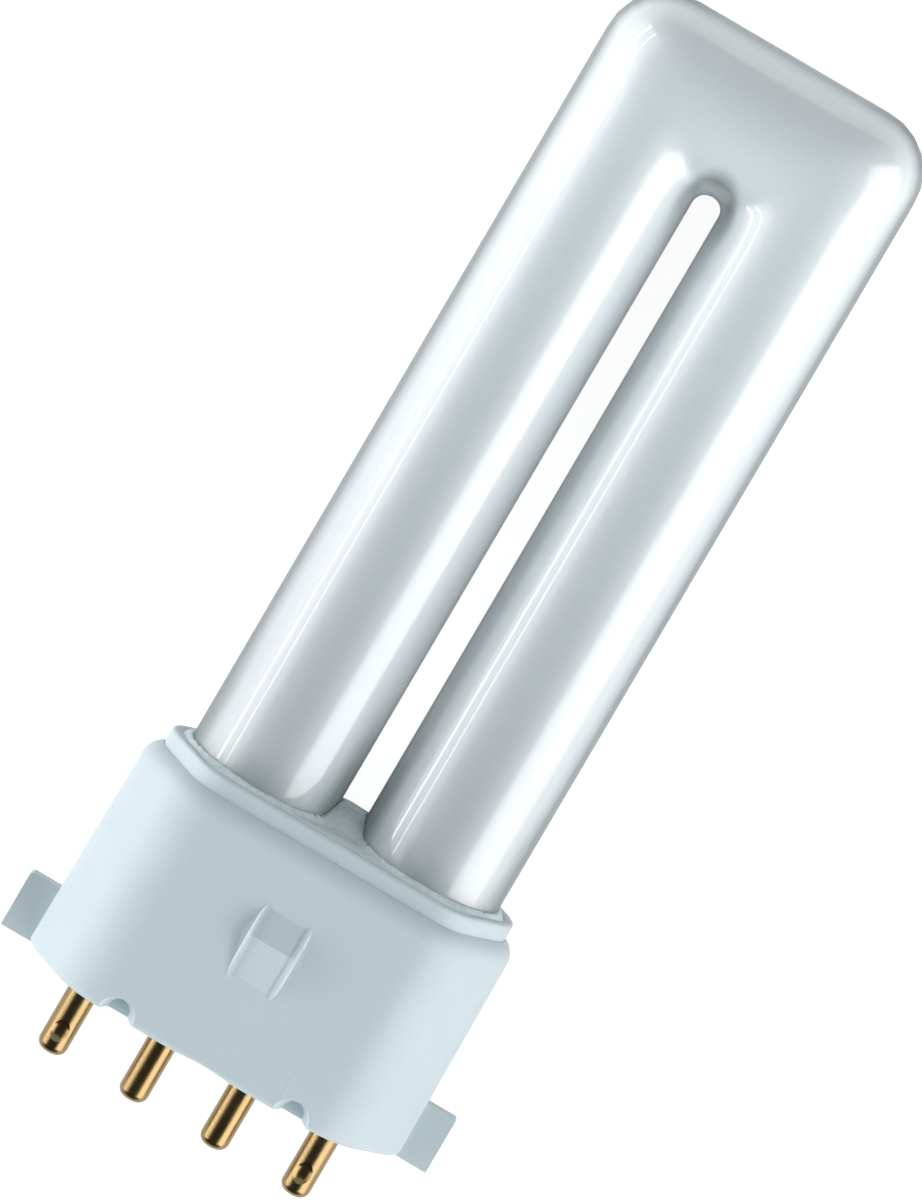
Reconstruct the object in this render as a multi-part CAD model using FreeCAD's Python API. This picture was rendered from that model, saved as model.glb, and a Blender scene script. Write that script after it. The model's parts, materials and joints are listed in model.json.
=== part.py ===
import FreeCAD, Part
import math
import os

from FreeCAD import Placement, Rotation, Vector

# Compact fluorescent lamp with a flat cap and four contact pins. Sizes are in millimetres.
# It is shaped upright: X runs along the row of pins, the front face looks towards -Y, and
# Z runs from the cap's pin face, at Z = 0, to the bend of the tube. It is then laid on its back.

# Discharge tube: two round legs and a squared bend
lamp_length = 86.4
tube_radius = 6.0
tube_gap = 2.2
bend_corner_radius = 4.8
bend_sections = 24

# Flat pressed seal and exhaust stub at the foot of each leg
leg_projection = 0.4
seal_shoulder = 2.4
seal_width = 8.4
seal_thickness = 3.2
seal_edge_radius = 1.2
exhaust_radius = 1.3
exhaust_length = 1.8

# Cup of the tube holder: gaps around the tube and rounding of its six sided outline
cup_front_gap = 1.1
cup_facet_gap = 0.3
cup_corner_radius = 3.0
cup_end_radius = 3.7
facet_angle = 60.0

# Walls, from the cup outwards
collar_wall = 0.85
holder_clearance = 0.05
rim_width = 1.0
draft = 0.25
cap_wall = 1.75

# Heights in the cap
cap_height = 18.3
floor_thickness = 2.0
collar_rise = 1.3
collar_edge_radius = 0.3
collar_depth = 4.8
plate_thickness = 1.4
leg_hole_clearance = 0.15
shoulder_radius = 1.6
foot_radius = 0.5

# Potting around the legs
potting_below_collar = 0.25
meniscus_width = 0.7
meniscus_height = 0.55
meniscus_edge = 0.05
saddle_height = 1.75
saddle_top_depth = 2.4
saddle_foot_depth = 7.2

# Side fins and the snap catch on each broad face
fin_reach = 2.4
fin_bottom = 0.05
fin_height = 4.65
fin_thickness = 1.4
fin_chamfer = 0.2
fin_root = 1.0
catch_width = 4.2
catch_bottom = 7.0
catch_crest = 10.8
catch_top = 13.3
catch_height = 1.2
catch_edge_radius = 0.4
catch_rib_width = 0.5
catch_sink = 0.12

# Notches in the foot of each broad face
notch_spacing = 15.0
notch_width = 2.95
notch_height = 1.6
relief_width = 6.0
relief_height = 0.3
notch_depth = 2.6
notch_taper = 14.0

# Contact pins
pin_pitch = 7.0
pin_count = 4
pin_radius = 1.175
pin_shank_radius = 1.4
pin_length = 6.6
pin_tip_radius = 0.8
pin_bore_radius = 0.55
pin_tip_wall = 1.2
pin_clearance = 0.02
pin_boss_radius = 2.1
pin_boss_height = 0.8
pin_flange_radius = 1.75
pin_flange_height = 0.6
punch_radius = 1.2
punch_depth = 0.4
punch_height = 2.0

# Lead wires between the seals and the pins
wire_radius = 0.3
wire_bend_radius = 0.8
wire_spacing = 4.0
wire_straight = 0.5
wire_gap = 2.4
wire_end_gap = 0.5

# Places that follow from the sizes above
leg_offset = tube_radius + tube_gap / 2
bend_inner = tube_gap / 2
bend_outer = bend_inner + 2 * tube_radius
bend_z = lamp_length - bend_outer
ledge_z = cap_height - collar_depth
collar_top = cap_height + collar_rise
plate_top = ledge_z + plate_thickness
leg_end_z = ledge_z - leg_projection
boss_top = floor_thickness + pin_boss_height
pin_top = boss_top + pin_flange_height
seal_top = leg_end_z - seal_shoulder
seal_bottom = pin_top + wire_gap
pool_top = collar_top - potting_below_collar
bore_offset = collar_wall + holder_clearance
top_offset = bore_offset + rim_width
foot_offset = top_offset + draft
cavity_offset = foot_offset - cap_wall
half_depth_at_foot = tube_radius + cup_front_gap + foot_offset

# How far cutting tools run past what they cut, and how close counts as touching
overcut = 1.0
near = 1e-4


def rounded_polygon(points, radii, z):
    """Closed wire at height z whose corners are arcs of the given radii."""
    corners = [Vector(x, y, z) for x, y in points]
    arcs = []
    for index, corner in enumerate(corners):
        back = (corners[index - 1] - corner).normalize()
        ahead = (corners[(index + 1) % len(corners)] - corner).normalize()
        half_angle = back.getAngle(ahead) / 2
        reach = radii[index] / math.tan(half_angle)
        rise = radii[index] / math.sin(half_angle) - radii[index]
        crown = corner + (back + ahead).normalize() * rise
        arcs.append((corner + back * reach, crown, corner + ahead * reach))
    edges = []
    for index, (start, crown, end) in enumerate(arcs):
        following = arcs[(index + 1) % len(arcs)][0]
        edges.append(Part.Arc(start, crown, end).toShape())
        edges.append(Part.LineSegment(end, following).toShape())
    return Part.Wire(edges)


def end_of_outline(offset):
    """Distance from the lamp's axis to the rounded end of the outline."""
    facet_reach = tube_radius + cup_facet_gap + offset
    sharp_end = leg_offset + facet_reach / math.sin(math.radians(facet_angle))
    rounding = cup_end_radius + offset
    return sharp_end - rounding * (1 / math.sin(math.radians(facet_angle)) - 1)


def outline(offset, z):
    """Six sided outline around both legs, grown outwards by offset from the cup."""
    sine = math.sin(math.radians(facet_angle))
    cosine = math.cos(math.radians(facet_angle))
    half_depth = tube_radius + cup_front_gap + offset
    facet_reach = tube_radius + cup_facet_gap + offset
    corner_x = leg_offset + (facet_reach - half_depth * cosine) / sine
    end_x = leg_offset + facet_reach / sine
    corner_radius = cup_corner_radius + offset
    end_radius = cup_end_radius + offset
    points = [
        (end_x, 0),
        (corner_x, half_depth),
        (-corner_x, half_depth),
        (-end_x, 0),
        (-corner_x, -half_depth),
        (corner_x, -half_depth),
    ]
    radii = [end_radius, corner_radius, corner_radius] * 2
    return rounded_polygon(points, radii, z)


def prism(offset, bottom, top):
    """Solid of the outline between two heights."""
    return Part.Face(outline(offset, bottom)).extrude(Vector(0, 0, top - bottom))


def edges_at(shape, z):
    """Edges that lie in the plane at height z."""
    boxes = [(edge, edge.BoundBox) for edge in shape.Edges]
    return [edge for edge, box in boxes if max(abs(box.ZMin - z), abs(box.ZMax - z)) < near]


def mirrored(shape, normal):
    """Copy of a shape on the other side of the lamp's axis."""
    return shape.mirror(Vector(0, 0, 0), normal)


def pin_places():
    """Places of the pins along X, from the left."""
    first = -pin_pitch * (pin_count - 1) / 2
    return [first + pin_pitch * index for index in range(pin_count)]


def wall_y(z):
    """Distance of the drafted broad face from the lamp's axis at height z."""
    return half_depth_at_foot - draft * z / cap_height


def bend_reach(angle):
    """Distance from the bend's centre to the squared outer side, at an angle from X."""
    across = math.cos(angle)
    along = math.sin(angle)
    straight = bend_outer - bend_corner_radius
    if bend_outer * along <= straight * across:
        return bend_outer / across
    if bend_outer * across <= straight * along:
        return bend_outer / along
    towards = straight * (across + along)
    return towards + math.sqrt(towards**2 - 2 * straight**2 + bend_corner_radius**2)


def bend_section(index):
    """Oval cross section of the bend, in a plane through the bend's centre line."""
    angle = math.pi * index / bend_sections
    reach = bend_reach(min(angle, math.pi - angle))
    radial = Vector(math.cos(angle), 0, math.sin(angle))
    centre = Vector(0, 0, bend_z) + radial * ((reach + bend_inner) / 2)
    long_radius = max((reach - bend_inner) / 2, tube_radius)
    oval = Part.Ellipse(centre, long_radius, tube_radius)
    oval.Axis = radial.cross(Vector(0, 1, 0))
    oval.XAxis = radial
    return Part.Wire([oval.toBSpline().toShape()])


def leg(side):
    """Round leg of the tube, with its seal and exhaust stub."""
    axis = Vector(side * leg_offset, 0, 0)
    foot = axis + Vector(0, 0, leg_end_z)
    straight = Part.makeCylinder(tube_radius, bend_z - leg_end_z, foot)
    wide = Part.Circle(foot, Vector(0, 0, 1), tube_radius)
    narrow_centre = axis + Vector(0, 0, seal_top)
    half_width = Vector(seal_width / 2, 0, 0)
    half_thickness = Vector(0, seal_thickness / 2, 0)
    narrow = Part.Ellipse(narrow_centre + half_width, narrow_centre + half_thickness, narrow_centre)
    shoulder = Part.makeLoft([Part.Wire([narrow.toShape()]), Part.Wire([wide.toShape()])], True, True)
    slab_corner = axis - half_width - half_thickness + Vector(0, 0, seal_bottom)
    slab = Part.makeBox(seal_width, seal_thickness, seal_top - seal_bottom, slab_corner)
    upright = [e for e in slab.Edges if e.BoundBox.ZLength > e.BoundBox.XLength + e.BoundBox.YLength]
    slab = slab.makeFillet(seal_edge_radius, upright)
    stub_end = axis + Vector(0, 0, seal_bottom - exhaust_length + exhaust_radius)
    stub = Part.makeCylinder(exhaust_radius, exhaust_length - exhaust_radius, stub_end)
    tip = Part.makeSphere(exhaust_radius, stub_end)
    return straight.fuse([shoulder, slab, stub, tip])


def discharge_tube():
    """Sealed glass tube: two legs joined by the squared bend."""
    bend = Part.makeLoft([bend_section(i) for i in range(bend_sections + 1)], True, False)
    return bend.fuse([leg(-1), leg(1)]).removeSplitter()


def leg_bores(radius):
    """Two round rods on the legs' axes, longer than the cap is high."""
    length = cap_height + collar_rise + saddle_height + overcut
    return [Part.makeCylinder(radius, length, Vector(side * leg_offset, 0, 0)) for side in (-1, 1)]


def tube_holder():
    """Cup with a collar that holds both legs and closes the cap."""
    holder = prism(collar_wall, ledge_z, collar_top)
    holder = holder.cut(prism(0, plate_top, collar_top + overcut))
    holder = holder.makeFillet(collar_edge_radius, edges_at(holder, collar_top))
    return holder.cut(leg_bores(tube_radius + leg_hole_clearance))


def potting():
    """Potting in the cup, drawn up along the legs and higher in the gap between them."""
    pool = prism(0, plate_top, pool_top)
    raised = []
    for side in (-1, 1):
        foot = Vector(side * leg_offset, 0, pool_top)
        wide = tube_radius + meniscus_width
        narrow = tube_radius + meniscus_edge
        raised.append(Part.makeCone(wide, narrow, meniscus_height, foot))
    saddle_points = [
        (-saddle_foot_depth / 2, pool_top),
        (-saddle_top_depth / 2, pool_top + saddle_height),
        (saddle_top_depth / 2, pool_top + saddle_height),
        (saddle_foot_depth / 2, pool_top),
    ]
    corners = [Vector(-leg_offset, y, z) for y, z in saddle_points]
    saddle = Part.Face(Part.makePolygon(corners + corners[:1]))
    raised.append(saddle.extrude(Vector(2 * leg_offset, 0, 0)))
    room = prism(0, plate_top, pool_top + saddle_height)
    raised = [piece.common(room) for piece in raised]
    return pool.fuse(raised).cut(leg_bores(tube_radius)).removeSplitter()


def fin():
    """Guide fin on the right end of the cap."""
    root = end_of_outline(foot_offset) - fin_root
    tip = end_of_outline(foot_offset) + fin_reach
    top = fin_bottom + fin_height
    points = [
        (root, fin_bottom),
        (tip, fin_bottom),
        (tip, top - fin_chamfer),
        (tip - fin_chamfer, top),
        (root, top),
    ]
    corners = [Vector(x, -fin_thickness / 2, z) for x, z in points]
    return Part.Face(Part.makePolygon(corners + corners[:1])).extrude(Vector(0, fin_thickness, 0))


def catch_block(width, base_y, sink):
    """Block as wide as given between a plane at base_y and the catch's two ramps, lowered by sink."""
    points = [
        (base_y, catch_bottom),
        (wall_y(catch_bottom) - sink, catch_bottom),
        (wall_y(catch_crest) + catch_height - sink, catch_crest),
        (wall_y(catch_top) - sink, catch_top),
        (base_y, catch_top),
    ]
    corners = [Vector(-width / 2, y, z) for y, z in points]
    return Part.Face(Part.makePolygon(corners + corners[:1])).extrude(Vector(width, 0, 0))


def catch():
    """Snap catch on the back of the cap: two ramps that meet at a rounded crest, sunk between two ribs."""
    crest_y = wall_y(catch_crest) + catch_height
    wedge = catch_block(catch_width, wall_y(catch_top) - cap_wall / 2, 0)
    proud = [e for e in wedge.Edges if e.BoundBox.YMax > crest_y - near]
    wedge = wedge.makeFillet(catch_edge_radius, proud)
    between_ribs = catch_block(catch_width - 2 * catch_rib_width, crest_y + overcut, catch_sink)
    return wedge.cut(between_ribs)


def notch(x, width, height):
    """Arched notch in the foot of the back face, narrower inwards, with a spline surface."""
    radius = (width**2 / 4 + height**2) / (2 * height)
    slope = math.tan(math.radians(notch_taper))
    start = Vector(x, half_depth_at_foot - notch_depth, height - radius)
    narrow = radius - notch_depth * slope
    wide = radius + overcut * slope
    return Part.makeCone(narrow, wide, notch_depth + overcut, start, Vector(0, 1, 0)).toNurbs()


def cap_housing():
    """Moulded cap: a drafted shell with fins, catches, notches and bosses for the pins."""
    shell = Part.makeLoft([outline(foot_offset, 0), outline(top_offset, cap_height)], True, True)
    shell = shell.makeFillet(shoulder_radius, edges_at(shell, cap_height))
    shell = shell.makeFillet(foot_radius, edges_at(shell, 0))
    back = catch()
    right = fin()
    added = [back, mirrored(back, Vector(0, 1, 0)), right, mirrored(right, Vector(1, 0, 0))]
    shell = shell.fuse(added)
    shell = shell.cut([
        prism(cavity_offset, floor_thickness, ledge_z + overcut / 2),
        prism(bore_offset, ledge_z, cap_height + overcut),
    ])
    bosses = []
    holes = []
    hole_radius = pin_shank_radius + pin_clearance
    hole_length = boss_top + 2 * overcut
    for x in pin_places():
        bosses.append(Part.makeCylinder(pin_boss_radius, boss_top, Vector(x, 0, 0)))
        holes.append(Part.makeCylinder(hole_radius, hole_length, Vector(x, 0, -overcut)))
    notches = [
        notch(-notch_spacing / 2, notch_width, notch_height),
        notch(0, relief_width, relief_height),
        notch(notch_spacing / 2, notch_width, notch_height),
    ]
    notches += [mirrored(cut, Vector(0, 1, 0)) for cut in notches]
    return shell.fuse(bosses).cut(holes + notches).removeSplitter()


def contact_pin(x, punched_side):
    """Hollow brass pin: rounded tip, wider shank in the cap, inner flange and a punched dent."""
    tip_flat = pin_radius - pin_tip_radius
    tip_centre_z = -pin_length + pin_tip_radius
    diagonal = pin_tip_radius * math.sqrt(0.5)
    low = Vector(tip_flat, 0, -pin_length)
    crown = Vector(tip_flat + diagonal, 0, tip_centre_z - diagonal)
    high = Vector(pin_radius, 0, tip_centre_z)
    turned = [
        Vector(pin_radius, 0, 0),
        Vector(pin_shank_radius, 0, 0),
        Vector(pin_shank_radius, 0, boss_top),
        Vector(pin_flange_radius, 0, boss_top),
        Vector(pin_flange_radius, 0, pin_top),
        Vector(0, 0, pin_top),
        Vector(0, 0, -pin_length),
        low,
    ]
    edges = [Part.Arc(low, crown, high).toShape()]
    for start, end in zip([high] + turned, turned):
        edges.append(Part.LineSegment(start, end).toShape())
    profile = Part.Face(Part.Wire(edges))
    pin = profile.revolve(Vector(0, 0, 0), Vector(0, 0, 1), 360)
    bore_bottom = Vector(0, 0, -pin_length + pin_tip_wall)
    bore = Part.makeCylinder(pin_bore_radius, pin_top - bore_bottom.z + overcut, bore_bottom)
    punch_y = punched_side * (pin_radius - punch_depth + punch_radius)
    punch = Part.makeSphere(punch_radius, Vector(0, punch_y, punch_height - pin_length))
    pin = pin.cut([bore, punch])
    pin.translate(Vector(x, 0, 0))
    return pin


def rounded_path(points, radius):
    """Open wire of straight runs joined by arcs that are tangent to them."""
    edges = []
    start = points[0]
    for before, corner, after in zip(points, points[1:], points[2:]):
        back = (before - corner).normalize()
        ahead = (after - corner).normalize()
        half_angle = back.getAngle(ahead) / 2
        reach = radius / math.tan(half_angle)
        rise = radius / math.sin(half_angle) - radius
        arc_start = corner + back * reach
        arc_end = corner + ahead * reach
        crown = corner + (back + ahead).normalize() * rise
        edges.append(Part.LineSegment(start, arc_start).toShape())
        edges.append(Part.Arc(arc_start, crown, arc_end).toShape())
        start = arc_end
    edges.append(Part.LineSegment(start, points[-1]).toShape())
    return Part.Wire(edges)


def lead_wire(pin_x):
    """Wire from the foot of a seal down into the bore of its pin."""
    leg_x = math.copysign(leg_offset, pin_x)
    seal_x = leg_x + math.copysign(wire_spacing / 2, pin_x - leg_x)
    points = [
        Vector(seal_x, 0, seal_bottom),
        Vector(seal_x, 0, seal_bottom - wire_straight),
        Vector(pin_x, 0, pin_top + wire_straight),
        Vector(pin_x, 0, -pin_length + pin_tip_wall + wire_end_gap),
    ]
    section = Part.Wire([Part.Circle(points[0], Vector(0, 0, 1), wire_radius).toShape()])
    return rounded_path(points, wire_bend_radius).makePipeShell([section], True, False)


def resting_place(pieces):
    """Placement that lays the lamp on its back, on the rear catch and the bend of the tube."""
    crest_y = wall_y(catch_crest) + catch_height
    span = lamp_length - tube_radius - catch_crest
    tilt = math.acos(tube_radius / math.hypot(crest_y, span)) - math.atan2(span, crest_y)
    front_up = Rotation(Vector(0, -1, 0), Vector(0, 0, -1), Vector(1, 0, 0), "XYZ")
    tilted = Rotation(Vector(0, 1, 0), math.degrees(tilt))
    turned = Placement(Vector(0, 0, 0), tilted.multiply(front_up))
    whole = Part.makeCompound([piece.transformed(turned.toMatrix(), True) for piece in pieces])
    box = whole.optimalBoundingBox(False, False)
    down = Vector(-(box.XMin + box.XMax) / 2, -(box.YMin + box.YMax) / 2, -box.ZMin)
    return Placement(down, Rotation()).multiply(turned)


def main():
    """Shape every piece, lay the lamp down and write one file for each piece."""
    nodes = {
        "discharge_tube": discharge_tube(),
        "tube_holder": tube_holder(),
        "potting": potting(),
        "cap_housing": cap_housing(),
    }
    for index, x in enumerate(pin_places()):
        outer = index in (0, pin_count - 1)
        nodes[f"contact_pin_{index + 1}"] = contact_pin(x, -1 if outer else 1)
        nodes[f"lead_wire_{index + 1}"] = lead_wire(x)
    resting = resting_place(nodes.values())
    os.makedirs("parts", exist_ok=True)
    for name, shape in nodes.items():
        shape.transformed(resting.toMatrix(), True).exportStep(f"parts/{name}.step")


main()
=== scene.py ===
import json
import math

import bmesh
import bpy
from bpy.props import FloatProperty, FloatVectorProperty, IntProperty, PointerProperty
from mathutils import Matrix, Vector


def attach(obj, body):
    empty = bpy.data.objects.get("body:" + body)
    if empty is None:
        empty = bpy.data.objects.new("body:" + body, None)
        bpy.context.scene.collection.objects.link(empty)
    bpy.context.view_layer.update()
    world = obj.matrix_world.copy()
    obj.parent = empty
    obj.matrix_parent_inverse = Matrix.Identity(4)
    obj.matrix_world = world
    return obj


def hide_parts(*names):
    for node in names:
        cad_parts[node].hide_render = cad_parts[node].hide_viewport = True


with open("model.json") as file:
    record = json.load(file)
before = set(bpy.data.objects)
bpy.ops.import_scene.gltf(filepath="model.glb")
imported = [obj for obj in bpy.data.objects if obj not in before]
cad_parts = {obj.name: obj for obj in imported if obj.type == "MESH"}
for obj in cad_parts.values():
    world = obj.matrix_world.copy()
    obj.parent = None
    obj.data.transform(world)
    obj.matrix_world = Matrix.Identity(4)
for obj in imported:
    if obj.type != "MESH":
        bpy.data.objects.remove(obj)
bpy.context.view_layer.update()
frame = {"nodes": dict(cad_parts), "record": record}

bl_info = {
    "name": "Compact Fluorescent Lamp",
    "version": (1, 0, 0),
    "blender": (4, 5, 0),
    "location": "3D View > Sidebar > Lamp",
    "description": "Models and finishes a plug-in fluorescent lamp, and lights it on a pale floor",
    "category": "Object",
}


# Places

def upright_to_lying():
    """Matrix from the lamp's upright axes, with the cap's pin face at their origin, to where it lies."""
    face = next(mount for mount in frame["record"]["mounts"] if mount["name"] == "cap_face")
    up = -Vector(face["axis"]).normalized()
    right = Vector((0, -1, 0))
    turn = Matrix((right, up.cross(right), up)).transposed()
    return Matrix.Translation(face["pos_m"]) @ turn.to_4x4()


LYING = upright_to_lying()
UPRIGHT = LYING.inverted()


def upright_box(node):
    """Lowest and highest corner of a CAD node in the lamp's upright axes."""
    points = [UPRIGHT @ vertex.co for vertex in frame["nodes"][node].data.vertices]
    low = Vector([min(point[axis] for point in points) for axis in range(3)])
    high = Vector([max(point[axis] for point in points) for axis in range(3)])
    return low, high


# Sizes and colours that a user would change

class LampTubeSettings(bpy.types.PropertyGroup):
    """Glass tube"""
    radius: FloatProperty(
        name="Radius", description="Outer radius of each leg", default=0.006, unit="LENGTH", precision=4)
    corner_radius: FloatProperty(
        name="Corner Radius", description="Rounding of the bend's two outer corners", default=0.0048,
        unit="LENGTH", precision=4)
    sides: IntProperty(name="Sides", description="Faces around a leg", default=96, min=12)
    bend_steps: IntProperty(name="Bend Steps", description="Rings in half of the bend", default=20, min=4)
    leg_projection: FloatProperty(
        name="Leg Projection", description="How far each leg stands out under the holder", default=0.0004,
        unit="LENGTH", precision=4)
    seal_shoulder: FloatProperty(
        name="Seal Shoulder", description="Height over which a leg narrows to its seal", default=0.0024,
        unit="LENGTH", precision=4)
    seal_width: FloatProperty(
        name="Seal Width", description="Width of the pressed seal", default=0.0084,
        unit="LENGTH", precision=4)
    seal_thickness: FloatProperty(
        name="Seal Thickness", description="Thickness of the pressed seal", default=0.0032,
        unit="LENGTH", precision=4)
    stub_radius: FloatProperty(
        name="Stub Radius", description="Radius of the exhaust stub", default=0.0013,
        unit="LENGTH", precision=4)
    stub_length: FloatProperty(
        name="Stub Length", description="Length of the exhaust stub", default=0.0018,
        unit="LENGTH", precision=4)
    coating: FloatVectorProperty(
        name="Coating", description="Colour of the powder coating behind the glass", subtype="COLOR",
        size=4, default=(0.88, 0.925, 0.95, 1.0), min=0, max=1)
    # Painted shade: the coating darkens to this colour towards the collar, standing in for less light near
    # the cap.
    painted_shade_coating: FloatVectorProperty(
        name="Thin Coating", description="Colour of the coating near the foot of a leg", subtype="COLOR",
        size=4, default=(0.555, 0.59, 0.62, 1.0), min=0, max=1)
    bare_glass: FloatVectorProperty(
        name="Bare Glass", description="Colour of the leg's foot, where the coating ends", subtype="COLOR",
        size=4, default=(0.36, 0.41, 0.40, 1.0), min=0, max=1)
    # Painted light: lifts the edges towards the gap, where the legs shade each other.
    inner_rim_painted_light: FloatVectorProperty(
        name="Inner Wall", description="Colour of the glass wall seen edge on, on the sides towards the gap",
        subtype="COLOR", size=4, default=(0.58, 0.61, 0.63, 1.0), min=0, max=1)
    # Painted dark reflection on the outer edges.
    outer_rim_painted_reflection: FloatVectorProperty(
        name="Outer Wall", description="Colour of the glass wall seen edge on, on the outer sides",
        subtype="COLOR", size=4, default=(0.20, 0.22, 0.24, 1.0), min=0, max=1)
    # Painted shade in the crook of the bend and a painted dark reflection on the legs' edges near the foot
    # share this colour.
    painted_crook_shade_and_rim_reflection: FloatVectorProperty(
        name="Crook Glass", description="Colour where the coating is thinnest, in the crook of the bend",
        subtype="COLOR", size=4, default=(0.21, 0.25, 0.245, 1.0), min=0, max=1)


class LampCapSettings(bpy.types.PropertyGroup):
    """Cap, tube holder and potting"""
    plastic: FloatVectorProperty(
        name="Plastic", description="Colour of the moulded plastic", subtype="COLOR",
        size=4, default=(0.64, 0.72, 0.755, 1.0), min=0, max=1)
    potting: FloatVectorProperty(
        name="Potting", description="Colour of the potting", subtype="COLOR",
        size=4, default=(0.80, 0.88, 0.89, 1.0), min=0, max=1)
    mould_line_x: FloatProperty(
        name="Mould Line Place", default=0.0062, unit="LENGTH", precision=4,
        description="Place of the two faint mould lines, left and right of the middle")
    mould_line_top: FloatProperty(
        name="Mould Line Top", description="Height at which the mould lines end", default=0.0065,
        unit="LENGTH", precision=4)
    potting_voxel: FloatProperty(
        name="Potting Voxel", description="Size of the faces of the potting", default=0.00022,
        unit="LENGTH", precision=5)
    potting_swell: FloatProperty(
        name="Potting Swell", description="Unevenness of the potting's surface", default=0.00022,
        unit="LENGTH", precision=5)


class LampPinSettings(bpy.types.PropertyGroup):
    """Contact pins and lead wires"""
    brass: FloatVectorProperty(
        name="Brass", description="Colour of the pins", subtype="COLOR",
        size=4, default=(0.31, 0.215, 0.10, 1.0), min=0, max=1)
    wire: FloatVectorProperty(
        name="Wire", description="Colour of the lead wires", subtype="COLOR",
        size=4, default=(0.55, 0.50, 0.45, 1.0), min=0, max=1)


class LampStageSettings(bpy.types.PropertyGroup):
    """Floor, lights and camera"""
    floor_size: FloatProperty(name="Floor Size", description="Side of the floor", default=6.0, unit="LENGTH")
    floor_white: FloatProperty(
        name="Floor White", description="Brightness that the floor shows to the camera without light",
        default=0.90, min=0, max=1)
    light_distance: FloatProperty(
        name="Light Distance", description="From the lamp to each light", default=0.5, unit="LENGTH")
    light_length: FloatProperty(
        name="Light Length", description="Length of each light along the lamp", default=0.9, unit="LENGTH")
    light_drop: FloatProperty(
        name="Light Drop", description="How far the lights on matt surfaces stand towards the pins",
        default=0.16, unit="LENGTH")
    left_light: FloatProperty(
        name="Left Light", default=4.3,
        description="Radiance with which the left light falls on matt surfaces")
    front_light: FloatProperty(
        name="Front Light", default=0.9,
        description="Radiance with which the front light falls on matt surfaces")
    right_light: FloatProperty(
        name="Right Light", default=2.6,
        description="Radiance with which the right light falls on matt surfaces")
    left_sheen: FloatProperty(
        name="Left Sheen", description="Radiance of the left light in reflections", default=1.8)
    right_sheen: FloatProperty(
        name="Right Sheen", description="Radiance of the right light in reflections", default=3.4)
    strips: FloatProperty(
        name="Strips", default=6.5,
        description="Radiance in reflections of the wider of the two strips on the left")
    surroundings: FloatProperty(
        name="Surroundings", description="Brightness of the room around the lamp", default=0.32)
    horizon: FloatProperty(
        name="Horizon", description="Share by which the room is brighter low down and darker overhead",
        default=0.4, min=0, max=1)
    pin_end: FloatProperty(
        name="Pin End", description="Share by which the room is brighter at the pins' end",
        default=0.5, min=0, max=1)
    room_colour: FloatVectorProperty(
        name="Room Colour", description="Colour of the light from the room", subtype="COLOR",
        size=4, default=(0.80, 0.952, 1.0, 1.0), min=0, max=1)
    elevation: FloatProperty(
        name="Elevation", description="How far the camera stands towards the bend, from square on to the cap",
        default=math.radians(10.0), subtype="ANGLE")
    roll: FloatProperty(
        name="Roll", description="Lean of the lamp to the right in the picture", default=math.radians(30.4),
        subtype="ANGLE")
    camera_distance: FloatProperty(
        name="Camera Distance", description="From the lamp to the camera", default=1.5, unit="LENGTH")
    view_height: FloatProperty(
        name="View Height", description="Height of what the picture shows", default=0.0891, unit="LENGTH",
        precision=4)
    view_right: FloatProperty(
        name="View Right", description="Picture's middle, right of the lamp's axis", default=-0.00097,
        unit="LENGTH", precision=5)
    view_up: FloatProperty(
        name="View Up", description="Picture's middle, above the cap's pin face", default=0.03885,
        unit="LENGTH", precision=5)


# Shader nodes

def add_node(tree, kind, feeds=None, **settings):
    """Adds a shader node. feeds maps each input to its value or to the socket that drives it."""
    node = tree.nodes.new(kind)
    for name, value in settings.items():
        setattr(node, name, value)
    for name, value in (feeds or {}).items():
        if isinstance(value, bpy.types.NodeSocket):
            tree.links.new(value, node.inputs[name])
        else:
            node.inputs[name].default_value = value
    return node


def calculate(tree, operation, *values):
    """Adds a math node and returns its result."""
    return add_node(tree, "ShaderNodeMath", dict(enumerate(values)), operation=operation).outputs[0]


def fade(tree, value, start, end, first, last, kind="LINEAR"):
    """Adds a node that goes from first to last while the value goes from start to end. Returns its result."""
    return add_node(tree, "ShaderNodeMapRange", {
        "Value": value, "From Min": start, "From Max": end, "To Min": first, "To Max": last},
        interpolation_type=kind).outputs[0]


def mix_colours(tree, factor, first, second):
    """Mixes two colours, given as values or sockets, and returns the result's socket."""
    mix = add_node(tree, "ShaderNodeMix", {"Factor": factor}, data_type="RGBA")
    for slot, colour in (("A", first), ("B", second)):
        socket = next(entry for entry in mix.inputs if entry.name == slot and entry.type == "RGBA")
        if isinstance(colour, bpy.types.NodeSocket):
            tree.links.new(colour, socket)
        else:
            socket.default_value = colour
    return next(entry for entry in mix.outputs if entry.type == "RGBA")


def add_group(name, inputs, outputs):
    """Starts a shader node group. inputs maps names to defaults, outputs maps names to socket types."""
    group = bpy.data.node_groups.new(name, "ShaderNodeTree")
    for socket_name, default in inputs.items():
        kind = "NodeSocketFloat" if isinstance(default, float) else "NodeSocketColor"
        if default is None:
            kind = "NodeSocketVector"
        socket = group.interface.new_socket(socket_name, in_out="INPUT", socket_type=kind)
        if default is not None:
            socket.default_value = default
    for socket_name, kind in outputs.items():
        group.interface.new_socket(socket_name, in_out="OUTPUT", socket_type=kind)
    return group, group.nodes.new("NodeGroupInput").outputs, group.nodes.new("NodeGroupOutput").inputs


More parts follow.
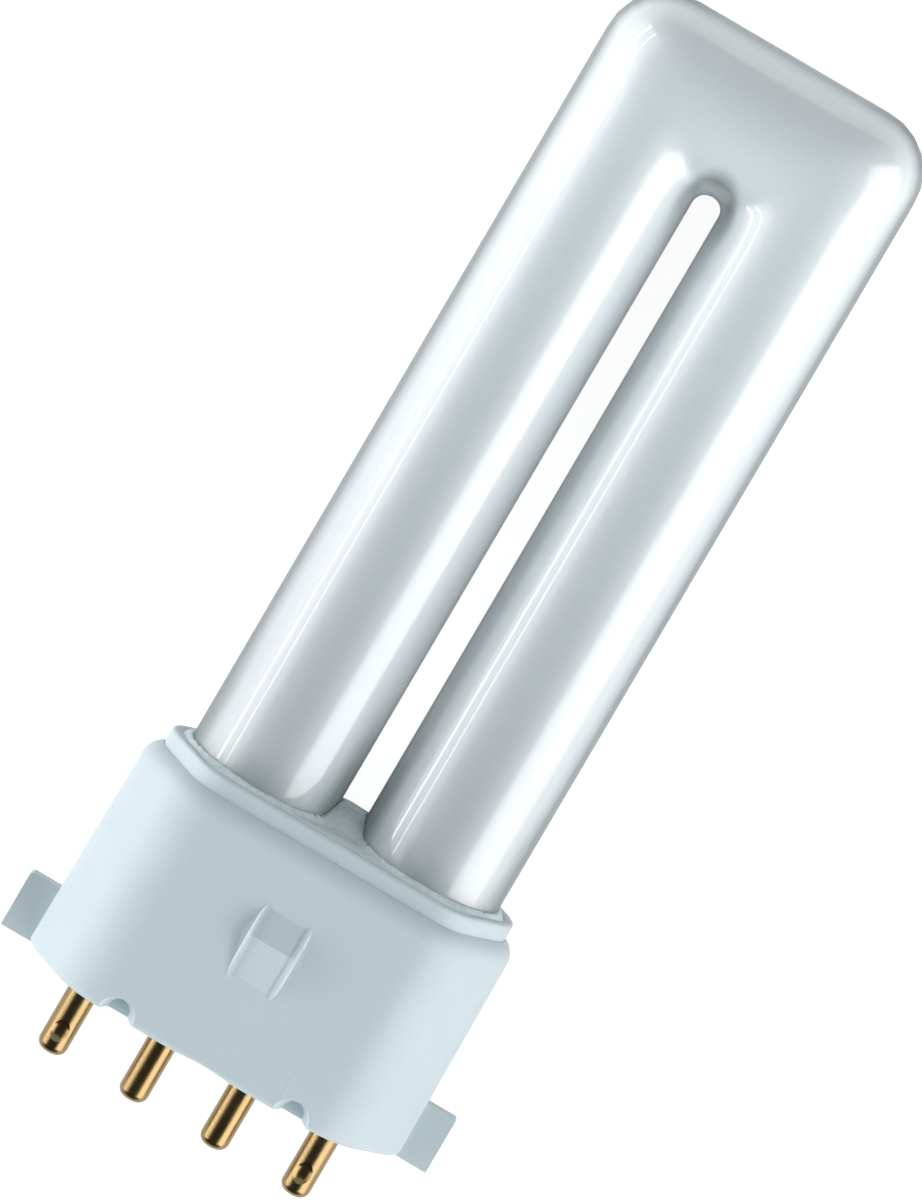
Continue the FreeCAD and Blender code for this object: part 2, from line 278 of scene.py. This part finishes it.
def mottle_group():
    """Soft clouds and fine grain that shift a colour a little, and their height for a bump."""
    group, given, result = add_group(
        "Mottle",
        {"Vector": None, "Colour": (0.8, 0.8, 0.8, 1.0), "Shift": 0.05, "Cloud Scale": 200.0,
         "Grain Scale": 3000.0},
        {"Colour": "NodeSocketColor", "Height": "NodeSocketFloat"},
    )
    clouds = add_node(group, "ShaderNodeTexNoise", {
        "Vector": given["Vector"], "Scale": given["Cloud Scale"], "Detail": 3.0, "Roughness": 0.55})
    grain = add_node(group, "ShaderNodeTexNoise", {
        "Vector": given["Vector"], "Scale": given["Grain Scale"], "Detail": 2.0, "Roughness": 0.6})
    both = calculate(group, "ADD", clouds.outputs[0], grain.outputs[0])
    shift = calculate(group, "MULTIPLY", calculate(group, "SUBTRACT", both, 1.0), given["Shift"])
    factor = calculate(group, "ADD", shift, 1.0)
    tint = add_node(group, "ShaderNodeVectorMath", {0: given["Colour"], "Scale": factor}, operation="SCALE")
    group.links.new(tint.outputs[0], result["Colour"])
    group.links.new(both, result["Height"])
    return group


def handling_group():
    """Roughness that wanders between two values, as where fingers have touched a surface."""
    group, given, result = add_group(
        "Handling",
        {"Vector": None, "Scale": 120.0, "Least": 0.2, "Most": 0.4},
        {"Roughness": "NodeSocketFloat"},
    )
    smears = add_node(group, "ShaderNodeTexNoise", {
        "Vector": given["Vector"], "Scale": given["Scale"], "Detail": 4.0, "Roughness": 0.6,
        "Distortion": 0.6})
    spread = fade(group, smears.outputs[0], 0.3, 0.7, given["Least"], given["Most"])
    group.links.new(spread, result["Roughness"])
    return group


GROUPS = {}


def use_group(tree, maker, feeds):
    """Places a node group, made once, in a material with values of its own, and returns its outputs."""
    if maker not in GROUPS:
        GROUPS[maker] = maker()
    return add_node(tree, "ShaderNodeGroup", feeds, node_tree=GROUPS[maker]).outputs


# Materials

def start_material(name):
    """New material with its tree, its Principled shader and the lamp's upright coordinates."""
    material = bpy.data.materials.new(name)
    material.use_nodes = True
    tree = material.node_tree
    shader = tree.nodes["Principled BSDF"]
    place = add_node(tree, "ShaderNodeTexCoord")
    upright = add_node(tree, "ShaderNodeMapping", {
        "Vector": place.outputs["Object"],
        "Location": UPRIGHT.to_translation(),
        "Rotation": UPRIGHT.to_euler(),
    })
    return material, tree, shader, upright.outputs[0]


def set_shader(shader, **values):
    """Sets uniform values on the shader's own sockets."""
    for name, value in values.items():
        shader.inputs[name.replace("_", " ")].default_value = value


def add_bump(tree, shader, height, distance):
    """Lets a height disturb the shader's normal."""
    bump = add_node(tree, "ShaderNodeBump", {"Height": height, "Distance": distance, "Strength": 1.0})
    tree.links.new(bump.outputs[0], shader.inputs["Normal"])


def plain_surface(name, colour, shift, clouds, grain, rough, bump, **uniform):
    """Material with a mottled colour, a wandering roughness, a fine bump and some uniform values."""
    material, tree, shader, upright = start_material(name)
    mottle = use_group(tree, mottle_group, {
        "Vector": upright, "Colour": colour, "Shift": shift, "Cloud Scale": clouds, "Grain Scale": grain})
    handling = use_group(tree, handling_group, {"Vector": upright, "Least": rough[0], "Most": rough[1]})
    tree.links.new(mottle["Colour"], shader.inputs["Base Color"])
    tree.links.new(handling["Roughness"], shader.inputs["Roughness"])
    add_bump(tree, shader, mottle["Height"], bump)
    set_shader(shader, **uniform)
    return material


def moulded_plastic(name, colour):
    """Matt, cool white plastic with the fine grain of its mould."""
    return plain_surface(
        name, colour, shift=0.06, clouds=260.0, grain=3600.0, rough=(0.58, 0.72), bump=0.000014,
        Subsurface_Weight=0.12, Subsurface_Radius=(0.0012, 0.0010, 0.0009), IOR=1.5)


def add_mould_lines(material, place, top):
    """Faint raised lines up the broad faces, where the parts of the mould met."""
    half_width = 0.00022
    rise = 3.0
    run_out = 0.002
    tree = material.node_tree
    bump = next(node for node in tree.nodes if node.type == "BUMP")
    grain = bump.inputs["Height"].links[0].from_socket
    upright = next(node for node in tree.nodes if node.type == "MAPPING").outputs[0]
    axes = add_node(tree, "ShaderNodeSeparateXYZ", {"Vector": upright}).outputs
    off = calculate(tree, "SUBTRACT", calculate(tree, "ABSOLUTE", axes["X"]), place)
    line = fade(tree, calculate(tree, "ABSOLUTE", off), 0.0, half_width, rise, 0.0, "SMOOTHSTEP")
    end = fade(tree, axes["Z"], top - run_out, top, 1.0, 0.0)
    height = calculate(tree, "ADD", grain, calculate(tree, "MULTIPLY", line, end))
    tree.links.new(height, bump.inputs["Height"])


def brass(colour):
    """Turned brass, dulled and a little scuffed."""
    return plain_surface(
        "pin_brass", colour, shift=0.12, clouds=900.0, grain=9000.0, rough=(0.18, 0.32), bump=0.000006,
        Metallic=1.0)


def wire_metal(colour):
    """Drawn wire."""
    return plain_surface(
        "wire_metal", colour, shift=0.1, clouds=1200.0, grain=9000.0, rough=(0.25, 0.4), bump=0.000002,
        Metallic=1.0)


def potting_compound(colour):
    """Pale grey green compound, dull and slightly lumpy."""
    return plain_surface(
        "potting_compound", colour, shift=0.45, clouds=700.0, grain=4200.0, rough=(0.45, 0.7), bump=0.00006,
        IOR=1.45)


# Where the glass tube's finish, its painted shade and its painted rims change, as start and end: heights
# above the collar in metres, and turns away from the eye from 0, square on, to 1, edge on. A share says how
# much of the change shows at most.
BARE_FOOT = (0.0015, 0.005)
BARE_SHARE = 0.45
# Painted dark reflection on the legs' edges near the foot, where the glass is partly clear.
FOOT_RIM_PAINTED_HEIGHT = (0.003, 0.014)
FOOT_RIM_PAINTED_TURN = (0.36, 0.56)
FOOT_RIM_PAINTED_SHARE = 0.8
# Painted rims: how far the surface turns edge on before the rim colours show.
PAINTED_RIM_TURN = (0.42, 0.68)
PAINTED_RIM_SHARE = 0.85
GLOSS_TURN = (0.45, 0.7)
DULL_TURN = (0.45, 0.8)


def height_over_collar(tree, upright, height, collar_top):
    """Height over the collar, made ragged so that the coating's end isn't a straight line."""
    raggedness = 0.004
    speckle = add_node(tree, "ShaderNodeTexNoise", {"Vector": upright, "Scale": 700.0, "Detail": 4.0})
    ragged = calculate(tree, "ADD", height, calculate(tree, "MULTIPLY", speckle.outputs[0], raggedness))
    return calculate(tree, "SUBTRACT", ragged, collar_top)


def painted_crook_shade_mask(tree, upright, height, bend_centre, bend_inner):
    """How much painted shade darkens the inner side of the bend, and less so down the legs."""
    squeeze = (1.7, 0, 1)
    near, far = bend_inner + 0.0014, bend_inner + 0.0034
    half_step = 0.0015
    share_below = 0.35
    from_bend = add_node(
        tree, "ShaderNodeVectorMath", {0: upright, 1: (0, 0, bend_centre)}, operation="SUBTRACT")
    squeezed = add_node(
        tree, "ShaderNodeVectorMath", {0: from_bend.outputs[0], 1: squeeze}, operation="MULTIPLY")
    distance = add_node(tree, "ShaderNodeVectorMath", {0: squeezed.outputs[0]}, operation="LENGTH")
    share = fade(tree, height, bend_centre - half_step, bend_centre + half_step, share_below, 1.0)
    return fade(tree, distance.outputs["Value"], near, far, share, 0.0, "SMOOTHSTEP")


def painted_rim_colour(tree, tube, across, bend_inner):
    """Painted colour of the glass seen edge on: painted light on the sides towards the gap, a painted dark
    reflection on the outer sides.
    """
    start, end = bend_inner + 0.8 * tube.radius, bend_inner + 1.6 * tube.radius
    outside = fade(tree, calculate(tree, "ABSOLUTE", across), start, end, 0.0, 1.0)
    return mix_colours(tree, outside, tube.inner_rim_painted_light, tube.outer_rim_painted_reflection)


def coated_glass(tube, collar_top, bend_top, bend_centre, bend_inner):
    """Powder coating behind clear glass, bare at each leg's foot, with painted shade towards the cap and in
    the crook of the bend, and painted rims seen edge on.
    """
    material, tree, shader, upright = start_material("coated_glass")
    axes = add_node(tree, "ShaderNodeSeparateXYZ", {"Vector": upright}).outputs
    turn = add_node(tree, "ShaderNodeLayerWeight", {"Blend": 0.5}).outputs["Facing"]
    mottle = use_group(tree, mottle_group, {
        "Vector": upright, "Colour": tube.coating, "Shift": 0.06, "Cloud Scale": 160.0,
        "Grain Scale": 2600.0})
    # Painted shade: darker from the bend down to the collar, standing in for less light near the cap.
    painted_shade_towards_cap = fade(tree, axes["Z"], collar_top, bend_top, 1.0, 0.0)
    powder = mix_colours(tree, painted_shade_towards_cap, mottle["Colour"], tube.painted_shade_coating)
    risen = height_over_collar(tree, upright, axes["Z"], collar_top)
    bare = fade(tree, risen, *BARE_FOOT, BARE_SHARE, 0.0, "SMOOTHSTEP")
    foot = mix_colours(tree, bare, powder, tube.bare_glass)
    # Painted shade in the crook of the bend, where the legs shade it.
    crook = painted_crook_shade_mask(tree, upright, axes["Z"], bend_centre, bend_inner)
    with_crook_shade = mix_colours(tree, crook, foot, tube.painted_crook_shade_and_rim_reflection)
    # Painted rims by the turn of the surface: a painted dark reflection on the outer edges, painted light
    # towards the gap.
    wall = fade(tree, turn, *PAINTED_RIM_TURN, 0.0, PAINTED_RIM_SHARE)
    with_painted_rim = mix_colours(tree, wall, with_crook_shade, painted_rim_colour(tree, tube, axes["X"], bend_inner))
    # Painted dark reflection on the edges near the foot, in the crook's painted shade colour, where the glass
    # is partly clear.
    low = fade(tree, risen, *FOOT_RIM_PAINTED_HEIGHT, 1.0, 0.0, "SMOOTHSTEP")
    clear = calculate(tree, "MULTIPLY", low, fade(tree, turn, *FOOT_RIM_PAINTED_TURN, 0.0, FOOT_RIM_PAINTED_SHARE))
    colour = mix_colours(tree, clear, with_painted_rim, tube.painted_crook_shade_and_rim_reflection)
    tree.links.new(colour, shader.inputs["Base Color"])
    tree.links.new(fade(tree, turn, *GLOSS_TURN, 1.0, 0.0), shader.inputs["Coat Weight"])
    tree.links.new(fade(tree, turn, *DULL_TURN, 0.5, 1.0), shader.inputs["Roughness"])
    set_shader(
        shader, IOR=1.8, Specular_IOR_Level=0.8, Subsurface_Weight=0.5, Subsurface_Scale=0.003,
        Subsurface_Radius=(1.0, 1.0, 1.0), Coat_Roughness=0.03, Coat_IOR=1.6)
    waves = add_node(tree, "ShaderNodeTexNoise", {"Vector": upright, "Scale": 240.0, "Detail": 1.0})
    add_bump(tree, shader, waves.outputs[0], 0.00002)
    return material


# Modelling

MERGE_DISTANCE = 1e-6


def apply_modifiers(piece):
    """Applies the piece's modifiers in their order."""
    for modifier in list(piece.modifiers):
        bpy.ops.object.modifier_apply(modifier=modifier.name)


def start_ring(name, sides, radius, place):
    """Starts a piece in edit mode as an open ring of edges, all selected."""
    bpy.ops.object.select_all(action="DESELECT")
    bpy.ops.mesh.primitive_circle_add(vertices=sides, radius=radius, fill_type="NOTHING", location=place)
    piece = bpy.context.object
    piece.name = name
    bpy.ops.object.transform_apply(location=True, rotation=True, scale=True)
    bpy.ops.object.mode_set(mode="EDIT")
    return piece


def select_where(piece, test):
    """Selects in edit mode the vertices whose place passes the test, and nothing else."""
    mesh = bmesh.from_edit_mesh(piece.data)
    for vertex in mesh.verts:
        vertex.select = test(vertex.co)
    mesh.select_flush_mode()
    bmesh.update_edit_mesh(piece.data)


def extrude_ring(down, widths=(1.0, 1.0), centre=(0.0, 0.0, 0.0)):
    """Extrudes the selected ring downwards, and scales its new edge across and in depth."""
    bpy.ops.mesh.extrude_region_move(TRANSFORM_OT_translate={"value": (0, 0, -down)})
    if widths != (1.0, 1.0):
        bpy.ops.transform.resize(value=(widths[0], widths[1], 1.0), center_override=centre)


def finish_upright(piece, smooth_angle):
    """Leaves edit mode, points the faces outwards, smooths them and lays the piece down."""
    bpy.ops.object.mode_set(mode="OBJECT")
    apply_modifiers(piece)
    bpy.ops.object.mode_set(mode="EDIT")
    bpy.ops.mesh.select_all(action="SELECT")
    bpy.ops.mesh.remove_doubles(threshold=MERGE_DISTANCE)
    bpy.ops.mesh.normals_make_consistent(inside=False)
    bpy.ops.object.mode_set(mode="OBJECT")
    bpy.ops.object.shade_smooth_by_angle(angle=smooth_angle)
    piece.matrix_world = LYING
    bpy.ops.object.transform_apply(location=True, rotation=True, scale=True)


def give_material(piece, material):
    """Makes the material the piece's only one."""
    piece.data.materials.clear()
    piece.data.materials.append(material)


def finish_nodes(prefix, material):
    """Gives every CAD node whose name starts that way the material."""
    names = [name for name in frame["nodes"] if name.startswith(prefix)]
    if not names:
        raise RuntimeError(f"the packed model has no node whose name starts with {prefix}")
    for name in names:
        for slot in frame["nodes"][name].material_slots:
            slot.material = material


def bend_reach(angle, outer, corner):
    """From the bend's centre to its squared outer side, at an angle from the pins' row."""
    across = math.cos(angle)
    along = math.sin(angle)
    straight = outer - corner
    if outer * along <= straight * across:
        return outer / across
    if outer * across <= straight * along:
        return outer / along
    towards = straight * (across + along)
    return towards + math.sqrt(towards**2 - 2 * straight**2 + corner**2)


def square_the_bend(piece, tube, inner, centre_z):
    """Stretches each ring of the spun bend away from its inner side, out to the squared outline."""
    outer = inner + 2 * tube.radius
    centre = Vector((0, 0, centre_z))
    depth = Vector((0, 1, 0))
    near = 1e-3
    for step in range(1, tube.bend_steps + 1):
        angle = math.pi / 2 * step / tube.bend_steps
        radial = Vector((-math.cos(angle), 0, math.sin(angle)))

        def on_ring(place):
            height = place.z - centre_z
            return height > 0 and abs(math.atan2(height, -place.x) - angle) < near

        select_where(piece, on_ring)
        reach = bend_reach(angle, outer, tube.corner_radius)
        stretch = (reach - inner) / (2 * tube.radius)
        axes = Matrix((radial, depth, radial.cross(depth))).transposed()
        bpy.ops.transform.resize(
            value=(stretch, 1.0, 1.0), orient_type="GLOBAL", orient_matrix=axes,
            orient_matrix_type="GLOBAL", constraint_axis=(True, False, False),
            center_override=centre + radial * inner)


# Operators

class LAMP_OT_discharge_tube(bpy.types.Operator):
    """Models the glass tube: one leg with its seal and stub, half of the bend, and their mirror image"""
    bl_idname = "lamp.discharge_tube"
    bl_label = "Discharge Tube"

    def execute(self, context):
        tube = context.scene.lamp_tube
        low, high = upright_box("discharge_tube")
        holder_low, holder_high = upright_box("tube_holder")
        leg_x = high.x - tube.radius
        bend_inner = leg_x - tube.radius
        bend_z = high.z - (leg_x + tube.radius)
        foot_z = holder_low.z - tube.leg_projection
        seal_bottom = low.z + tube.stub_length
        piece = start_ring("glass_tube", tube.sides, tube.radius, (-leg_x, 0, foot_z))
        extrude_ring(foot_z - bend_z)
        bpy.ops.mesh.spin(
            steps=tube.bend_steps, angle=-math.pi / 2, center=(0, 0, bend_z), axis=(0, 1, 0))
        square_the_bend(piece, tube, bend_inner, bend_z)
        self.close_foot(piece, tube, leg_x, foot_z, seal_bottom)
        mirror = piece.modifiers.new("Other Leg", "MIRROR")
        mirror.use_axis = (True, False, False)
        mirror.use_clip = True
        mirror.merge_threshold = 1e-5
        finish_upright(piece, smooth_angle=math.radians(40))
        give_material(piece, coated_glass(tube, holder_high.z, high.z, bend_z, bend_inner))
        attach(piece, "root")
        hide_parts("discharge_tube")
        return {"FINISHED"}

    def close_foot(self, piece, tube, leg_x, foot_z, seal_bottom):
        """Narrows the leg's open foot to the flat seal, and closes it with the exhaust stub."""
        near = 1e-6
        centre = (-leg_x, 0, 0)
        select_where(piece, lambda place: abs(place.z - foot_z) < near)
        flat = (tube.seal_width / (2 * tube.radius), tube.seal_thickness / (2 * tube.radius))
        extrude_ring(tube.seal_shoulder, flat, centre)
        extrude_ring(foot_z - tube.seal_shoulder - seal_bottom)
        round_again = (2 * tube.stub_radius / tube.seal_width, 2 * tube.stub_radius / tube.seal_thickness)
        extrude_ring(0.0, round_again, centre)
        extrude_ring(tube.stub_length - tube.stub_radius)
        tip_steps = 6
        for step in range(1, tip_steps):
            before = math.pi / 2 * (step - 1) / tip_steps
            after = math.pi / 2 * step / tip_steps
            shrink = math.cos(after) / math.cos(before)
            drop = tube.stub_radius * (math.sin(after) - math.sin(before))
            extrude_ring(drop, (shrink, shrink), centre)
        bpy.ops.mesh.edge_face_add()


class LAMP_OT_potting(bpy.types.Operator):
    """Models the potting: the CAD solid, softened and swollen unevenly as it sets"""
    bl_idname = "lamp.potting"
    bl_label = "Potting"

    def execute(self, context):
        cap = context.scene.lamp_cap
        piece = bpy.data.objects.new("potting_fill", frame["nodes"]["potting"].data.copy())
        context.scene.collection.objects.link(piece)
        bpy.ops.object.select_all(action="DESELECT")
        piece.select_set(True)
        context.view_layer.objects.active = piece
        bpy.ops.mesh.customdata_custom_splitnormals_clear()
        bpy.ops.object.mode_set(mode="EDIT")
        bpy.ops.mesh.select_all(action="SELECT")
        bpy.ops.mesh.remove_doubles(threshold=MERGE_DISTANCE)
        bpy.ops.object.mode_set(mode="OBJECT")
        remesh = piece.modifiers.new("Even Faces", "REMESH")
        remesh.mode = "VOXEL"
        remesh.voxel_size = cap.potting_voxel
        remesh.use_smooth_shade = True
        smooth = piece.modifiers.new("Settled", "SMOOTH")
        smooth.factor = 0.5
        smooth.iterations = 4
        clouds = bpy.data.textures.new("potting_clouds", "CLOUDS")
        clouds.noise_scale = 0.0022
        swell = piece.modifiers.new("Swollen", "DISPLACE")
        swell.texture = clouds
        swell.texture_coords = "LOCAL"
        swell.strength = cap.potting_swell
        swell.mid_level = 0.0
        apply_modifiers(piece)
        give_material(piece, potting_compound(cap.potting))
        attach(piece, "root")
        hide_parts("potting")
        return {"FINISHED"}


class LAMP_OT_cap(bpy.types.Operator):
    """Finishes the moulded cap and the tube holder"""
    bl_idname = "lamp.cap"
    bl_label = "Cap and Tube Holder"

    def execute(self, context):
        cap = context.scene.lamp_cap
        housing = moulded_plastic("cap_plastic", cap.plastic)
        add_mould_lines(housing, cap.mould_line_x, cap.mould_line_top)
        finish_nodes("cap_housing", housing)
        finish_nodes("tube_holder", moulded_plastic("holder_plastic", cap.plastic))
        return {"FINISHED"}


class LAMP_OT_contacts(bpy.types.Operator):
    """Finishes the contact pins and the lead wires"""
    bl_idname = "lamp.contacts"
    bl_label = "Pins and Lead Wires"

    def execute(self, context):
        pins = context.scene.lamp_pins
        finish_nodes("contact_pin", brass(pins.brass))
        finish_nodes("lead_wire", wire_metal(pins.wire))
        return {"FINISHED"}


class LAMP_OT_stage(bpy.types.Operator):
    """Sets up the pale floor, the studio lights, the room's light and the camera"""
    bl_idname = "lamp.stage"
    bl_label = "Stage"

    def execute(self, context):
        stage = context.scene.lamp_stage
        self.add_floor(stage)
        self.light_room(context.scene, stage)
        self.add_lights(stage)
        self.add_camera(context.scene, stage)
        context.scene.view_settings.view_transform = "Standard"
        return {"FINISHED"}

    def add_floor(self, stage):
        """Pale floor that shows white to the camera and in reflections, and keeps the lamp's shadow."""
        pale, shaded = (0.8, 0.8, 0.8, 1.0), (0.3, 0.3, 0.3, 1.0)
        bpy.ops.object.select_all(action="DESELECT")
        bpy.ops.mesh.primitive_plane_add(size=stage.floor_size)
        floor = bpy.context.object
        floor.name = "floor"
        material = bpy.data.materials.new("pale_floor")
        material.use_nodes = True
        tree = material.node_tree
        tree.nodes.clear()
        rays = add_node(tree, "ShaderNodeLightPath").outputs
        seen = calculate(tree, "MAXIMUM", rays["Is Camera Ray"], rays["Is Glossy Ray"])
        shown = calculate(tree, "MAXIMUM", seen, rays["Is Transmission Ray"])
        matt = add_node(tree, "ShaderNodeBsdfDiffuse", {"Color": pale}).outputs[0]
        faint = add_node(tree, "ShaderNodeBsdfDiffuse", {"Color": shaded}).outputs[0]
        white = add_node(tree, "ShaderNodeEmission", {
            "Color": (1.0, 1.0, 1.0, 1.0), "Strength": stage.floor_white}).outputs[0]
        lit = add_node(tree, "ShaderNodeAddShader", {0: faint, 1: white}).outputs[0]
        mix = add_node(tree, "ShaderNodeMixShader", {0: shown, 1: matt, 2: lit}).outputs[0]
        add_node(tree, "ShaderNodeOutputMaterial", {"Surface": mix})
        floor.data.materials.append(material)

    def light_room(self, scene, stage):
        """Slightly cool light from the room: brighter low down and at the pins' end, dark in reflections."""
        in_reflections = 0.05
        world = bpy.data.worlds.new("room")
        scene.world = world
        world.use_nodes = True
        tree = world.node_tree
        tree.nodes.clear()
        rays = add_node(tree, "ShaderNodeLightPath").outputs
        direction = add_node(tree, "ShaderNodeTexCoord").outputs["Generated"]
        axes = add_node(tree, "ShaderNodeSeparateXYZ", {"Vector": direction}).outputs
        along = fade(tree, axes["X"], -1.0, 1.0, 1 + stage.pin_end, 1 - stage.pin_end)
        low_down = stage.surroundings * (1 + stage.horizon)
        overhead = stage.surroundings * (1 - stage.horizon)
        matt = calculate(tree, "MULTIPLY", along, fade(tree, axes["Z"], 0.0, 1.0, low_down, overhead))
        level = fade(tree, rays["Is Glossy Ray"], 0.0, 1.0, matt, in_reflections)
        light = add_node(tree, "ShaderNodeBackground", {"Color": stage.room_colour, "Strength": level})
        add_node(tree, "ShaderNodeOutputWorld", {"Surface": light.outputs[0]})

    def add_lights(self, stage):
        """Soft lights along both sides of the lamp, each either for matt surfaces or for reflections."""
        second_strip = 0.7
        for name, angle, width, edge, radiance, surface in (
            ("left_light", -86, 0.45, 0.3, stage.left_light, "matt"),
            ("front_light", -44, 0.30, 0.3, stage.front_light, "matt"),
            ("right_light", 58, 0.48, 0.3, stage.right_light, "matt"),
            ("left_sheen", -68, 0.66, 0.30, stage.left_sheen, "shiny"),
            ("right_sheen", 66, 0.56, 0.20, stage.right_sheen, "shiny"),
            ("strip_1", -72, 0.045, 0.35, stage.strips, "shiny"),
            ("strip_2", -57.5, 0.030, 0.35, stage.strips * second_strip, "shiny"),
        ):
            drop = stage.light_drop if surface == "matt" else 0.0
            light = self.add_light(stage, name, math.radians(angle), width, edge, radiance, drop)
            light.visible_diffuse = surface == "matt"
            light.visible_glossy = surface == "shiny"

    def add_light(self, stage, name, angle, width, edge, radiance, drop):
        """Rectangular light at an angle from the front of the cap, whose long edges fade out."""
        turn = LYING.to_3x3()
        front = turn @ Vector((math.sin(angle), -math.cos(angle), 0))
        along = turn @ Vector((0, 0, 1))
        data = bpy.data.lights.new(name, "AREA")
        data.shape = "RECTANGLE"
        data.size = width
        data.size_y = stage.light_length
        data.energy = radiance * math.pi * width * stage.light_length
        data.use_nodes = True
        tree = data.node_tree
        middle = 0.5
        place = add_node(tree, "ShaderNodeNewGeometry").outputs["Parametric"]
        across = add_node(tree, "ShaderNodeSeparateXYZ", {"Vector": place}).outputs["X"]
        aside = calculate(tree, "ABSOLUTE", calculate(tree, "SUBTRACT", across, middle))
        strength = fade(tree, aside, middle, middle - edge, 0.0, 1.0, "SMOOTHSTEP")
        tree.links.new(strength, tree.nodes["Emission"].inputs["Strength"])
        light = bpy.data.objects.new(name, data)
        bpy.context.scene.collection.objects.link(light)
        axes = Matrix((along.cross(front), along, front)).transposed()
        centre = LYING @ Vector((0, 0, stage.view_up - drop))
        light.matrix_world = Matrix.Translation(centre + front * stage.light_distance) @ axes.to_4x4()
        return light

    def add_camera(self, scene, stage):
        """Camera with a long lens, leaning so that the lamp leans as in the photograph."""
        turn = LYING.to_3x3()
        away = turn @ Vector((0, -math.cos(stage.elevation), math.sin(stage.elevation)))
        across = turn @ Vector((1, 0, 0))
        along = away.cross(across)
        right = across * math.cos(stage.roll) + along * math.sin(stage.roll)
        up = along * math.cos(stage.roll) - across * math.sin(stage.roll)
        data = bpy.data.cameras.new("camera")
        data.sensor_fit = "VERTICAL"
        data.sensor_height = 24.0
        data.lens = data.sensor_height * stage.camera_distance / stage.view_height
        data.clip_end = 20.0
        camera = bpy.data.objects.new("camera", data)
        scene.collection.objects.link(camera)
        middle = LYING @ Vector((stage.view_right, 0, stage.view_up))
        axes = Matrix((right, up, away)).transposed()
        camera.matrix_world = Matrix.Translation(middle + away * stage.camera_distance) @ axes.to_4x4()
        scene.camera = camera


class LAMP_PT_sidebar(bpy.types.Panel):
    """The lamp's operators and settings"""
    bl_idname = "LAMP_PT_sidebar"
    bl_label = "Compact Fluorescent Lamp"
    bl_space_type = "VIEW_3D"
    bl_region_type = "UI"
    bl_category = "Lamp"

    def draw(self, context):
        for operator in OPERATORS:
            self.layout.operator(operator.bl_idname)
        for name in SETTINGS:
            settings = getattr(context.scene, name)
            box = self.layout.box()
            for field in settings.__annotations__:
                box.prop(settings, field)


SETTINGS = {
    "lamp_tube": LampTubeSettings,
    "lamp_cap": LampCapSettings,
    "lamp_pins": LampPinSettings,
    "lamp_stage": LampStageSettings,
}
OPERATORS = (
    LAMP_OT_discharge_tube,
    LAMP_OT_potting,
    LAMP_OT_cap,
    LAMP_OT_contacts,
    LAMP_OT_stage,
)


def register():
    """Registers the settings, the operators and the panel."""
    for kind in (*SETTINGS.values(), *OPERATORS, LAMP_PT_sidebar):
        bpy.utils.register_class(kind)
    for name, kind in SETTINGS.items():
        setattr(bpy.types.Scene, name, PointerProperty(type=kind))


def unregister():
    """Takes them out again, in the opposite order."""
    for name in reversed(SETTINGS):
        delattr(bpy.types.Scene, name)
    for kind in reversed((*SETTINGS.values(), *OPERATORS, LAMP_PT_sidebar)):
        bpy.utils.unregister_class(kind)


def main():
    register()
    for operator in OPERATORS:
        module, name = operator.bl_idname.split(".")
        getattr(getattr(bpy.ops, module), name)()


if __name__ == "__main__":
    main()
